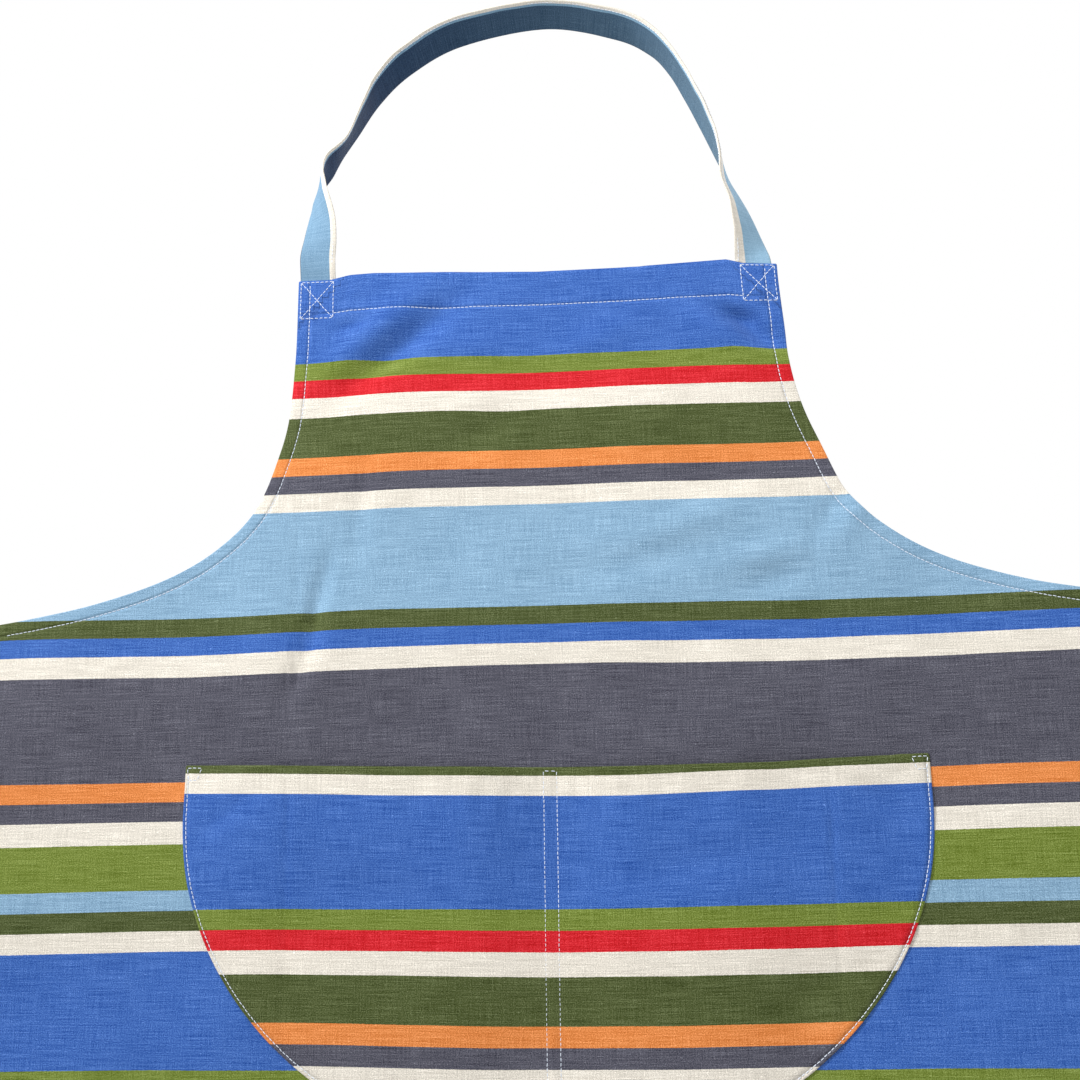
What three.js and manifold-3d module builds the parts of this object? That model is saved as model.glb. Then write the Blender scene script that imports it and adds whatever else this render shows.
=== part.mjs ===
// Butcher apron: a bib apron in striped cotton, hanging from its neck loop.
//
// Millimetres. X runs across the apron, Z is up, and the front faces -Y. Shapes are drawn with z = 0 at the
// bib's top edge; the last lines then lower them, so that the origin is where the loop rests on the neck.
import * as THREE from "three";
import { mergeVertices } from "three/addons/utils/BufferGeometryUtils.js";
import Module from "manifold-3d";

const wasm = await Module();
wasm.setup();

// ---- Driving dimensions -----------------------------------------------------------------------------------
const CLOTH = 0.8; // thickness of one layer of cloth
const GAP = 0.3; // clearance between pieces that touch
const TOTAL_LENGTH = 900; // bib top to bottom hem
const BIB_HALF_WIDTH = 168;
const SKIRT_HALF_WIDTH = 400;
const ARMHOLE_DEPTH = 242; // bib top to the waist corner
const TOP_HEM = 25;
const SIDE_HEM = 9;
const BOTTOM_HEM = 25;
const SEAM_INSET = 1; // a hem's seam runs this far from the hem's raw edge

const POCKET_TOP = 337; // below the bib top
const POCKET_HALF_WIDTH = 237;
const POCKET_SIDE = 30; // straight length of each side, above the round bottom
const POCKET_ROUND = 206; // depth of the half-ellipse below the straight sides
const POCKET_HEM = 18;
const POCKET_FULLNESS = 12; // how far each compartment stands away from the panel
const POCKET_SEAM = 2.5; // the pocket's edge seam, from its edge
const DIVIDER_ROWS = 8.3; // between the two rows of the divider

const TAPE_WIDTH = 25;
const TAPE_THICKNESS = 2;
const TAPE_SEAM = 2.5; // the tape's closing seam, from its edge
const STRAP_X = 155; // the strap ends' centre lines, either side of the middle
const STRAP_END = 28; // sewn length behind the bib
const FOLD_ROOM = 4; // free height between the bib's top edge and the loop, where the tape folds
const TIE_END = 27; // sewn length behind the waist corner
const TIE_DROP = 15; // the tie's centre line, below the waist corner
const TIE_REACH = 34; // how far outside the side edge a hanging tie falls
const TIE_TAIL = 1000; // the tie's tip, below the bib top

const THREAD_WIDTH = 0.8;
const THREAD_THICKNESS = 0.4;

const BLUE = 0x4272ba;
const PALE_BLUE = 0x8fb6d6;
const WHITE = 0xf2f0ea;

// ---- Levels along Y, from the panel's mid-plane -----------------------------------------------------------
const PANEL_FRONT = -CLOTH / 2;
const HEM_BACK = CLOTH / 2 + CLOTH;
const TAPE_Y = HEM_BACK + GAP + TAPE_THICKNESS / 2; // the middle of a tape that is sewn behind the panel
const POCKET_BACK = PANEL_FRONT - GAP;
const POCKET_FRONT = POCKET_BACK - CLOTH;

const FRONT = new THREE.Vector3(0, -1, 0);

// ---- Materials --------------------------------------------------------------------------------------------
const cotton = (name, color) => new THREE.MeshStandardMaterial({ name, color, roughness: 0.9, metalness: 0 });
const panelCloth = () => cotton("striped_cotton", BLUE);
const tapeCloth = () => cotton("tape_cotton", PALE_BLUE);
const sewingThread = () => cotton("sewing_thread", WHITE);

// ---- Closed bodies ----------------------------------------------------------------------------------------
// A geometry with shared vertices, from flat lists of positions and triangle corners.
function closedGeometry(positions, index) {
  const geometry = new THREE.BufferGeometry();
  geometry.setAttribute("position", new THREE.Float32BufferAttribute(positions, 3));
  geometry.setIndex(index);
  geometry.computeVertexNormals();
  return geometry;
}

// Sweeps a section along frames. A section is a list of [across, out] pairs, counter-clockwise seen from the
// sweep's start, where "across" runs along the frame's width and "out" along its normal.
function sweep(frames, section) {
  const positions = [];
  for (const { point, width, normal } of frames) {
    for (const [across, out] of section) {
      const p = point.clone().addScaledVector(width, across).addScaledVector(normal, out);
      positions.push(p.x, p.y, p.z);
    }
  }
  const n = section.length;
  const last = (frames.length - 1) * n;
  const index = [];
  for (let ring = 0; ring < last; ring += n) {
    for (let i = 0; i < n; i++) {
      const j = (i + 1) % n;
      index.push(ring + i, ring + n + j, ring + j, ring + i, ring + n + i, ring + n + j);
    }
  }
  for (let i = 1; i < n - 1; i++) {
    index.push(0, i, i + 1, last, last + i + 1, last + i);
  }
  return closedGeometry(positions, index);
}

// A rectangle from one pair of limits across and one out.
const rectangle = ([left, right], [low, high]) => [
  [left, low],
  [right, low],
  [right, high],
  [left, high],
];

function solidFrom(geometry) {
  const bare = geometry.index ? geometry.toNonIndexed() : geometry.clone();
  bare.deleteAttribute("normal");
  bare.deleteAttribute("uv");
  const merged = mergeVertices(bare, 1e-4);
  return new wasm.Manifold(
    new wasm.Mesh({
      numProp: 3,
      vertProperties: merged.attributes.position.array,
      triVerts: new Uint32Array(merged.index.array),
    }),
  );
}

function geometryFrom(solid) {
  const { vertProperties, triVerts } = solid.getMesh();
  return closedGeometry(Array.from(vertProperties), Array.from(triVerts));
}

// The geometry's mirror image in the plane x = 0, with its faces turned to point out again.
function mirrorImage(geometry) {
  const mirrored = (value, i) => (i % 3 === 0 ? -value : value);
  const positions = Array.from(geometry.attributes.position.array, mirrored);
  const index = Array.from(geometry.index.array);
  for (let i = 0; i < index.length; i += 3) {
    [index[i + 1], index[i + 2]] = [index[i + 2], index[i + 1]];
  }
  return closedGeometry(positions, index);
}

const joined = (geometries) => geometryFrom(geometries.map(solidFrom).reduce((a, b) => a.add(b)));

// ---- Outlines in the panel's plane: [x, z] pairs ----------------------------------------------------------
// The right armhole, from the bib's corner to the waist corner.
const armhole = new THREE.SplineCurve(
  [
    [BIB_HALF_WIDTH, 0],
    [BIB_HALF_WIDTH + 0.5, -58],
    [173, -97],
    [182, -128],
    [197.5, -165],
    [223, -190.5],
    [258, -210.5],
    [304, -226],
    [350, -235.5],
    [SKIRT_HALF_WIDTH, -ARMHOLE_DEPTH],
  ].map(([x, z]) => new THREE.Vector2(x, z)),
);
const ARMHOLE_STEPS = 40;

// Points beside the armhole, on the cloth's side of it.
function armholeInset(inset) {
  const points = [];
  for (let i = 0; i <= ARMHOLE_STEPS; i++) {
    const at = armhole.getPoint(i / ARMHOLE_STEPS);
    const along = armhole.getTangent(i / ARMHOLE_STEPS);
    points.push([at.x + along.y * inset, at.y - along.x * inset]);
  }
  return points;
}

// The whole panel's outline, inset by a hem of its own on each edge.
function panelOutline(top, side, bottom) {
  const shortOfCorner = 1;
  const sideX = SKIRT_HALF_WIDTH - side;
  const edge = armholeInset(side).filter(([x, z]) => z < -top && x < sideX - shortOfCorner);
  const right = [
    [BIB_HALF_WIDTH - side, -top],
    ...edge,
    [sideX, -ARMHOLE_DEPTH - side],
    [sideX, bottom - TOTAL_LENGTH],
  ];
  const left = right.map(([x, z]) => [-x, z]).reverse();
  return [...right, ...left].map(([x, z]) => new THREE.Vector2(x, z));
}

// An outline in the XZ plane, thickened from y = front to y = back.
function slab(shape, front, back) {
  const geometry = new THREE.ExtrudeGeometry(shape, { depth: back - front, bevelEnabled: false });
  geometry.rotateX(Math.PI / 2);
  return geometry.translate(0, back, 0);
}

const pocketCentre = POCKET_TOP + POCKET_SIDE;

// Half the pocket's width at a depth below the bib top.
function pocketHalfWidth(depth) {
  const below = Math.max(0, depth - pocketCentre) / POCKET_ROUND;
  return POCKET_HALF_WIDTH * Math.sqrt(Math.max(0, 1 - below * below));
}

// How far a point lies inside the pocket's side and bottom edge.
function insidePocket(x, depth) {
  if (depth < pocketCentre) return POCKET_HALF_WIDTH - Math.abs(x);
  const rho = Math.hypot(x / POCKET_HALF_WIDTH, (depth - pocketCentre) / POCKET_ROUND);
  return (1 - rho) * POCKET_ROUND;
}

// How far the pocket stands away from the panel: nothing along its seams, full in each compartment.
function pocketStandOff(x, depth) {
  const flatAtSeams = 8;
  const rise = 55;
  const fromDivider = THREE.MathUtils.smoothstep(Math.abs(x), flatAtSeams, flatAtSeams + rise);
  const fromEdge = THREE.MathUtils.smoothstep(insidePocket(x, depth), flatAtSeams, flatAtSeams + rise);
  return POCKET_FULLNESS * fromDivider * fromEdge;
}

// ---- Threads ----------------------------------------------------------------------------------------------
const bead = rectangle([-THREAD_WIDTH / 2, THREAD_WIDTH / 2], [GAP, GAP + THREAD_THICKNESS]);

// A seam's thread along [x, z] points, lying on a face that looks towards the front.
function threadLine(points, face) {
  const at = points.map(([x, z]) => new THREE.Vector3(x, face, z));
  const frames = at.map((point, i) => {
    const before = at[Math.max(0, i - 1)];
    const after = at[Math.min(at.length - 1, i + 1)];
    const along = after.clone().sub(before).normalize();
    return { point, width: new THREE.Vector3().crossVectors(along, FRONT), normal: FRONT };
  });
  return sweep(frames, bead);
}

const threadLines = (lines, face) => joined(lines.map((points) => threadLine(points, face)));

// The four sides of a figure, and its diagonals where it has them. The sides overlap at the corners.
function figure([a, b, c, d], crossed) {
  const half = THREAD_WIDTH / 2;
  const stretch = ([x1, z1], [x2, z2]) => {
    const length = Math.hypot(x2 - x1, z2 - z1);
    const dx = ((x2 - x1) / length) * half;
    const dz = ((z2 - z1) / length) * half;
    return [
      [x1 - dx, z1 - dz],
      [x2 + dx, z2 + dz],
    ];
  };
  const sides = [stretch(a, b), stretch(b, c), stretch(c, d), stretch(d, a)];
  return crossed ? [...sides, [a, c], [b, d]] : sides;
}

// A box with a cross in it, the usual reinforcement where a tape ends.
const boxAndCross = (x1, x2, z1, z2) =>
  figure(
    [
      [x1, z1],
      [x2, z1],
      [x2, z2],
      [x1, z2],
    ],
    true,
  );

// ---- Tapes ------------------------------------------------------------------------------------------------
// A tape's frames: its centre line through the given points, its width turned as the hints say. A hint is the
// direction towards the tape's pale edge. Past "turned" millimetres the tape is straight and needs no frames.
function tapeFrames(route, step, turned = Infinity) {
  const through = (index) => route.map((pair) => new THREE.Vector3(...pair[index]));
  const curve = new THREE.CatmullRomCurve3(through(0), false, "centripetal");
  const hints = new THREE.CatmullRomCurve3(through(1), false, "centripetal");
  const length = curve.getLength();
  const bent = Math.min(length, turned);
  const count = Math.ceil(bent / step);
  const shares = [];
  for (let i = 0; i <= count; i++) shares.push((bent * i) / count / length);
  if (bent < length) shares.push(1);
  return shares.map((share) => {
    const t = curve.getUtoTmapping(share);
    const along = curve.getTangent(t);
    const hint = hints.getPoint(t);
    const width = hint.addScaledVector(along, -hint.dot(along)).normalize();
    return { point: curve.getPoint(t), width, normal: new THREE.Vector3().crossVectors(width, along) };
  });
}

const NECK_STEP = 4;
const TIE_STEP = 3;
const TIE_TURNED = 100;
const seamAcross = [TAPE_WIDTH / 2 - TAPE_SEAM - THREAD_WIDTH, TAPE_WIDTH / 2 - TAPE_SEAM];
const seamOut = [TAPE_THICKNESS / 2 + GAP, TAPE_THICKNESS / 2 + GAP + THREAD_THICKNESS];
const tapeSeamSection = rectangle(seamAcross, seamOut);
// The tape's outer face has an edge either side of its seam, so the seam stays parallel to it in a twist.
const tapeSection = [
  [-TAPE_WIDTH / 2, -TAPE_THICKNESS / 2],
  [TAPE_WIDTH / 2, -TAPE_THICKNESS / 2],
  [TAPE_WIDTH / 2, TAPE_THICKNESS / 2],
  [seamAcross[1], TAPE_THICKNESS / 2],
  [seamAcross[0], TAPE_THICKNESS / 2],
  [-TAPE_WIDTH / 2, TAPE_THICKNESS / 2],
];

// The neck loop's route: each centre point and the direction to the tape's pale edge. The tape rises from each
// bib corner with its outer face to the front, makes a quarter twist beside the neck, and rests its inner
// face on the back of the neck.
const LOOP_START = FOLD_ROOM;
const LOOP_BACK_Y = 50;
const LOOP_BACK_Z = 242;
const neckRoute = [
  [[-STRAP_X, TAPE_Y, LOOP_START], [1, 0, 0]],
  [[-STRAP_X, TAPE_Y, 20], [1, 0, 0]],
  [[-154.5, 3, 36], [0.98, -0.2, 0]],
  [[-154.5, 4, 50], [0.9, -0.43, 0]],
  [[-156, 6, 64], [0.72, -0.69, 0]],
  [[-158, 9, 77], [0.5, -0.86, 0]],
  [[-157.5, 13, 90], [0.16, -0.98, 0.05]],
  [[-153, 17.5, 104], [-0.04, -0.99, 0.08]],
  [[-143.5, 22.5, 121], [0.24, -0.97, 0.02]],
  [[-136, 28, 141], [0.14, -0.97, 0.15]],
  [[-122.5, 36, 174], [-0.06, -0.96, 0.25]],
  [[-101, 42, 203], [-0.18, -0.91, 0.38]],
  [[-62, 48, 230], [-0.13, -0.88, 0.46]],
  [[4, LOOP_BACK_Y, LOOP_BACK_Z], [0, -0.92, 0.4]],
  [[60, 48, 227.5], [0.14, -0.89, 0.45]],
  [[86, 44.5, 209], [0.14, -0.93, 0.34]],
  [[100, 40, 188], [0.11, -0.96, 0.27]],
  [[111, 34.5, 163], [0.11, -0.95, 0.28]],
  [[120, 28, 138], [0.12, -0.95, 0.28]],
  [[127, 21.5, 113], [0.04, -0.97, 0.24]],
  [[132, 15.5, 90], [-0.12, -0.97, 0.18]],
  [[135.5, 10, 68], [-0.42, -0.9, 0.06]],
  [[141.5, 6.5, 48], [-0.52, -0.85, 0]],
  [[148.5, 4.5, 28], [-0.64, -0.77, 0]],
  [[153.5, 3, 17], [-0.88, -0.46, 0]],
  [[STRAP_X, TAPE_Y, 10], [-0.99, -0.1, 0]],
  [[STRAP_X, TAPE_Y, LOOP_START], [-1, 0, 0]],
];

// The right waist tie's route from just outside the side edge: out, over and straight down, with a quarter
// turn on the way. Each row is the reach outwards, the drop and the quarter turn so far, in degrees.
const tieHeight = -ARMHOLE_DEPTH - TIE_DROP;
const tieRoute = [
  [1.5, 0, 0],
  [12, 1, 8],
  [22, 6, 28],
  [29, 15, 52],
  [33, 28, 72],
  [TIE_REACH, 46, 86],
  [TIE_REACH, 72, 90],
  [TIE_REACH, 100, 90],
  [TIE_REACH, TIE_TAIL + tieHeight, 90],
].map(([reach, drop, turn]) => {
  const angle = THREE.MathUtils.degToRad(turn);
  return [
    [SKIRT_HALF_WIDTH + reach, TAPE_Y, tieHeight - drop],
    [0, Math.sin(angle), Math.cos(angle)],
  ];
});

// A straight piece of tape behind the panel, between two [x, z] points.
function sewnTape([x1, z1], [x2, z2]) {
  const from = new THREE.Vector3(x1, TAPE_Y, z1);
  const to = new THREE.Vector3(x2, TAPE_Y, z2);
  const along = to.clone().sub(from).normalize();
  const width = new THREE.Vector3().crossVectors(along, FRONT);
  const normal = new THREE.Vector3().crossVectors(width, along);
  return sweep([from, to].map((point) => ({ point, width, normal })), tapeSection);
}

// ---- Sub-parts --------------------------------------------------------------------------------------------
const apron = new THREE.Group();
const hung = new THREE.Group();
apron.add(hung);

function addMesh(name, geometry, material) {
  const mesh = new THREE.Mesh(geometry, material);
  mesh.name = name;
  hung.add(mesh);
}

// Two layers of cloth along every edge, where it is turned to the back, and one layer inside the hems.
function buildMainPanel() {
  const outline = new THREE.Shape(panelOutline(0, 0, 0));
  const insideHems = new THREE.Shape(panelOutline(TOP_HEM, SIDE_HEM, BOTTOM_HEM));
  const twoLayers = solidFrom(slab(outline, PANEL_FRONT, HEM_BACK));
  const secondLayer = solidFrom(slab(insideHems, CLOTH / 2, HEM_BACK + CLOTH));
  addMesh("main_panel", geometryFrom(twoLayers.subtract(secondLayer)), panelCloth());
}

function buildPocket() {
  const rows = 18;
  const columns = 44;
  const lowest = 0.995; // the last row stops just short of the ellipse's lowest point, where it has no width
  const positions = [];
  const addSheet = (levelAt) => {
    for (let r = 0; r <= rows; r++) {
      const depth = POCKET_TOP + (POCKET_SIDE + POCKET_ROUND * lowest) * Math.sin((r / rows) * (Math.PI / 2));
      for (let c = 0; c <= columns; c++) {
        const x = pocketHalfWidth(depth) * ((2 * c) / columns - 1);
        positions.push(x, levelAt(x, depth), -depth);
      }
    }
  };
  const hemLayer = (depth) => (depth < POCKET_TOP + POCKET_HEM ? CLOTH : 0);
  const fold = (x, depth) => Math.min(hemLayer(depth), pocketStandOff(x, depth));
  addSheet((x, depth) => POCKET_FRONT - pocketStandOff(x, depth));
  addSheet((x, depth) => POCKET_BACK - pocketStandOff(x, depth) + fold(x, depth));

  const wide = columns + 1;
  const back = wide * (rows + 1);
  const index = [];
  const quad = (a, b, c, d) => index.push(a, b, c, a, c, d);
  for (let r = 0; r < rows; r++) {
    for (let c = 0; c < columns; c++) {
      const i = r * wide + c;
      quad(i, i + wide, i + wide + 1, i + 1);
      quad(back + i, back + i + 1, back + i + wide + 1, back + i + wide);
    }
    const left = r * wide;
    const right = left + columns;
    quad(left, back + left, back + left + wide, left + wide);
    quad(right, right + wide, back + right + wide, back + right);
  }
  const bottom = rows * wide;
  for (let c = 0; c < columns; c++) {
    quad(c, c + 1, back + c + 1, back + c);
    quad(bottom + c, back + bottom + c, back + bottom + c + 1, bottom + c + 1);
  }
  addMesh("pocket_panel", closedGeometry(positions, index), panelCloth());
}

function buildNeckStrap() {
  const frames = tapeFrames(neckRoute, NECK_STEP);
  addMesh("neck_strap", sweep(frames, tapeSection), tapeCloth());
  addMesh("neck_strap_stitch", sweep(frames, tapeSeamSection), sewingThread());
}

function buildSide(name, side) {
  const strapX = side * STRAP_X;
  addMesh(`neck_strap_end_${name}`, sewnTape([strapX, -GAP], [strapX, -STRAP_END]), tapeCloth());

  const tieFrom = side * (SKIRT_HALF_WIDTH - GAP);
  const tieTo = side * (SKIRT_HALF_WIDTH - TIE_END);
  addMesh(`waist_tie_end_${name}`, sewnTape([tieFrom, tieHeight], [tieTo, tieHeight]), tapeCloth());

  const frames = tapeFrames(tieRoute, TIE_STEP, TIE_TURNED);
  const onSide = (geometry) => (side > 0 ? geometry : mirrorImage(geometry));
  addMesh(`waist_tie_${name}`, onSide(sweep(frames, tapeSection)), tapeCloth());
  addMesh(`waist_tie_stitch_${name}`, onSide(sweep(frames, tapeSeamSection)), sewingThread());
}

// Threads of one side's seams. Each stops just short of the reinforcement that it runs up to.
function buildSideThreads(name, side) {
  const mirrored = (points) => points.map(([x, z]) => [side * x, z]);
  const face = PANEL_FRONT;
  const edge = 1;

  const strapLeft = STRAP_X - TAPE_WIDTH / 2 + edge;
  const strapRight = STRAP_X + TAPE_WIDTH / 2 - edge;
  const strapBox = boxAndCross(strapLeft, strapRight, -edge, -STRAP_END);
  addMesh(`strap_box_stitch_${name}`, threadLines(strapBox.map(mirrored), face), sewingThread());

  const tieLeft = SKIRT_HALF_WIDTH - TIE_END + edge;
  const tieRight = SKIRT_HALF_WIDTH - edge;
  const tieTop = tieHeight + TAPE_WIDTH / 2 - edge;
  const tieBottom = tieHeight - TAPE_WIDTH / 2 + edge;
  const tieBox = boxAndCross(tieLeft, tieRight, tieTop, tieBottom);
  addMesh(`tie_box_stitch_${name}`, threadLines(tieBox.map(mirrored), face), sewingThread());

  const seam = SIDE_HEM - SEAM_INSET;
  const clear = 2;
  const armholeSeam = armholeInset(seam).filter(([x, z]) => z < -STRAP_END - clear && x < tieLeft - clear);
  addMesh(`armhole_stitch_${name}`, threadLine(mirrored(armholeSeam), face), sewingThread());

  const sideSeam = [
    [SKIRT_HALF_WIDTH - seam, tieBottom - clear],
    [SKIRT_HALF_WIDTH - seam, edge - TOTAL_LENGTH],
  ];
  addMesh(`side_hem_stitch_${name}`, threadLine(mirrored(sideSeam), face), sewingThread());

  const tackDepth = 7;
  const tackOuter = POCKET_HALF_WIDTH - edge;
  const tack = figure(
    [
      [tackOuter - 9, -POCKET_TOP - edge],
      [tackOuter, -POCKET_TOP - edge],
      [tackOuter - 1, -POCKET_TOP - edge - tackDepth],
      [tackOuter - 7, -POCKET_TOP - edge - tackDepth],
    ],
    false,
  );
  const tackLines = threadLines(tack.map(mirrored), POCKET_FRONT);
  addMesh(`pocket_corner_tack_${name}`, tackLines, sewingThread());
}

function buildMiddleThreads() {
  const clear = 2;
  const topSeamEnd = STRAP_X - TAPE_WIDTH / 2 - clear;
  const topSeamZ = SEAM_INSET - TOP_HEM;
  const topSeam = [
    [-topSeamEnd, topSeamZ],
    [topSeamEnd, topSeamZ],
  ];
  addMesh("top_hem_stitch", threadLine(topSeam, PANEL_FRONT), sewingThread());

  const bottomSeamEnd = SKIRT_HALF_WIDTH - SIDE_HEM - clear;
  const bottomSeamZ = BOTTOM_HEM - SEAM_INSET - TOTAL_LENGTH;
  const bottomSeam = [
    [-bottomSeamEnd, bottomSeamZ],
    [bottomSeamEnd, bottomSeamZ],
  ];
  addMesh("bottom_hem_stitch", threadLine(bottomSeam, PANEL_FRONT), sewingThread());

  const seamWidth = POCKET_HALF_WIDTH - POCKET_SEAM;
  const aboveLowest = 1; // the seam stays on the cloth where the pocket's bottom row is cut off flat
  const seamRound = POCKET_ROUND - POCKET_SEAM - aboveLowest;
  const turns = 56;
  const belowTack = 11;
  const seamTop = -POCKET_TOP - belowTack;
  const pocketSeam = [[-seamWidth, seamTop]];
  for (let i = 0; i <= turns; i++) {
    const angle = (Math.PI * i) / turns;
    pocketSeam.push([-seamWidth * Math.cos(angle), -pocketCentre - seamRound * Math.sin(angle)]);
  }
  pocketSeam.push([seamWidth, seamTop]);
  addMesh("pocket_edge_stitch", threadLine(pocketSeam, POCKET_FRONT), sewingThread());

  const half = DIVIDER_ROWS / 2;
  const dividerTop = -POCKET_TOP - 3;
  const dividerBottom = -pocketCentre - seamRound + clear;
  const divider = [
    [
      [-half, dividerTop],
      [-half, dividerBottom],
    ],
    [
      [half, dividerTop],
      [half, dividerBottom],
    ],
    [
      [-half - THREAD_WIDTH / 2, dividerTop],
      [half + THREAD_WIDTH / 2, dividerTop],
    ],
  ];
  addMesh("pocket_divider_stitch", threadLines(divider, POCKET_FRONT), sewingThread());
}

buildMainPanel();
buildPocket();
buildNeckStrap();
for (const [name, side] of [
  ["left", -1],
  ["right", 1],
]) {
  buildSide(name, side);
  buildSideThreads(name, side);
}
buildMiddleThreads();

// The origin is the middle of the loop at the back of the neck.
hung.position.set(0, -LOOP_BACK_Y, -LOOP_BACK_Z);

export default apron;
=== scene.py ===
# Butcher apron: the cloth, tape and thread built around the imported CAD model.
#
# Metres, in the CAD model's frame: X across, Z up, the front faces -Y. Shapes on the panel are given in
# cloth coordinates: u across from the middle, v down from the bib's top edge. "back" is a distance behind
# the panel's middle surface, along its normal.
import math

import bmesh
import bpy
import numpy as np
from mathutils import Matrix, Vector


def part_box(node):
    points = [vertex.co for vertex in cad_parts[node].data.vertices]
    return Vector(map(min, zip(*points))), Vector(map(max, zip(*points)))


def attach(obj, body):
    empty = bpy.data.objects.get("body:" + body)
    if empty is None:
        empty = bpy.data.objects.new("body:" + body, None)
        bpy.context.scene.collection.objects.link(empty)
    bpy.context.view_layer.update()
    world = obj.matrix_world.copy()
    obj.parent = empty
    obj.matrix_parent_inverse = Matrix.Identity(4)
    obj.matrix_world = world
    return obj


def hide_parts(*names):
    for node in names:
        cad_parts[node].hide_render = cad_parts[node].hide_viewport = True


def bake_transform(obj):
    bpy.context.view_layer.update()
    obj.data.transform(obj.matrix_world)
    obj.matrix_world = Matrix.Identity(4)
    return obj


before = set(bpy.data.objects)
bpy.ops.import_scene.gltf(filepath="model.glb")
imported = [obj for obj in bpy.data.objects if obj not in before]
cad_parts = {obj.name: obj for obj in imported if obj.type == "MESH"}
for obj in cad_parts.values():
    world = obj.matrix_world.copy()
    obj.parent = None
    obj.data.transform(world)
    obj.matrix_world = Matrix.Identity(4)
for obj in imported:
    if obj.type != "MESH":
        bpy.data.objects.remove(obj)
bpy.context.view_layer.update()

# ---- Places and sizes from the CAD model -----------------------------------------------------------------
panel_low, panel_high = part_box("main_panel")
pocket_low, pocket_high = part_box("pocket_panel")
strap_end_low, strap_end_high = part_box("neck_strap_end_left")
tie_low, tie_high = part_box("waist_tie_right")
tie_end_low, tie_end_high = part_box("waist_tie_end_right")

TOP = panel_high.z
LENGTH = panel_high.z - panel_low.z
SKIRT_HALF_WIDTH = panel_high.x
CAD_CLOTH = 0.0008
PANEL_Y = panel_low.y + CAD_CLOTH / 2
TAPE_Y = (strap_end_low.y + strap_end_high.y) / 2
TAPE_WIDTH = strap_end_high.x - strap_end_low.x
STRAP_X = -(strap_end_low.x + strap_end_high.x) / 2
STRAP_END = TOP - strap_end_low.z
TIE_V = TOP - (tie_end_low.z + tie_end_high.z) / 2
TIE_END_X = tie_end_low.x
TIE_TIP_V = TOP - tie_low.z
POCKET_TOP = TOP - pocket_high.z
POCKET_HALF_WIDTH = pocket_high.x
POCKET_DEPTH = pocket_high.z - pocket_low.z
POCKET_SIDE = 0.03

BIB_HALF_WIDTH = 0.168
ARMHOLE_DEPTH = 0.242
TOP_HEM = 0.025
SIDE_HEM = 0.009
BOTTOM_HEM = 0.025
POCKET_HEM = 0.018
CLOTH = 0.0005
TAPE_THICKNESS = 0.0018
STITCH_PITCH = 0.0029
STITCH_LENGTH = 0.0024
STITCH_WIDTH = 0.00048
DIVIDER_ROWS = 0.0083
SIDES = (("left", -1), ("right", 1))
SEAM_INSET = 0.001  # from a hem's inner edge, or a tape's edge, to its stitches
POCKET_SEAM = 0.0022


# ---- Small helpers ---------------------------------------------------------------------------------------
def smoothstep(low, high, value):
    t = np.clip((value - low) / (high - low), 0, 1)
    return t * t * (3 - 2 * t)


def unit(vectors):
    return vectors / np.maximum(np.linalg.norm(vectors, axis=-1, keepdims=True), 1e-12)


def catmull_rom(points, per_span):
    """A smooth curve through the points, per_span samples from each to the next."""
    points = np.array(points, float)
    ends = np.vstack([2 * points[0] - points[1], points, 2 * points[-1] - points[-2]])
    t = np.linspace(0, 1, per_span, endpoint=False)[:, None]
    spans = []
    for a, b, c, d in zip(ends, ends[1:], ends[2:], ends[3:]):
        spans.append(
            0.5 * (2 * b + (c - a) * t + (2 * a - 5 * b + 4 * c - d) * t**2 + (3 * b - a - 3 * c + d) * t**3)
        )
    return np.vstack([*spans, points[-1:]])


def pairs(first, second):
    return np.stack([first, second], axis=-1)


def along(points):
    """Distance along a line of points, at each of them."""
    return np.concatenate([[0], np.cumsum(np.linalg.norm(np.diff(points, axis=0), axis=1))])


def at_distance(at, where, values):
    """Rows of values, known at the distances "where", at other distances."""
    return np.stack([np.interp(at, where, column) for column in values.T], axis=1)


def resample(points, step):
    """The same line with evenly spaced points, about step apart."""
    where = along(points)
    count = max(2, int(round(where[-1] / step)) + 1)
    at = np.linspace(0, where[-1], count)
    return at_distance(at, where, points)


def line_normals(points):
    """Unit vectors to the right of a line in the u, v plane."""
    tangent = unit(np.gradient(points, axis=0))
    return pairs(-tangent[:, 1], tangent[:, 0])


def inward_from(edge):
    """Unit vectors from the cloth's right-hand edge towards the middle."""
    normals = line_normals(edge)
    return np.where(normals[:, :1] > 0, -normals, normals)


def add_object(name, data):
    obj = bpy.data.objects.new(name, data)
    bpy.context.scene.collection.objects.link(obj)
    return obj


def new_mesh(name, positions, faces, material, layers=None):
    """A mesh object. layers is {UV layer name: a pair for each vertex}."""
    mesh = bpy.data.meshes.new(name)
    mesh.from_pydata(positions.tolist(), [], faces)
    mesh.update()
    corners = np.zeros(len(mesh.loops), np.int32)
    mesh.loops.foreach_get("vertex_index", corners)
    for layer, values in (layers or {}).items():
        uv = mesh.uv_layers.new(name=layer)
        uv.data.foreach_set("uv", values[corners].astype(np.float32).ravel())
    mesh.polygons.foreach_set("use_smooth", np.ones(len(mesh.polygons), bool))
    mesh.materials.append(material)
    return add_object(name, mesh)


def grid_faces(rows, columns, start=0, keep=None):
    faces = []
    for r in range(rows - 1):
        for c in range(columns - 1):
            if keep is None or keep[r, c]:
                i = start + r * columns + c
                faces.append((i, i + columns, i + columns + 1, i + 1))
    return faces


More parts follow.
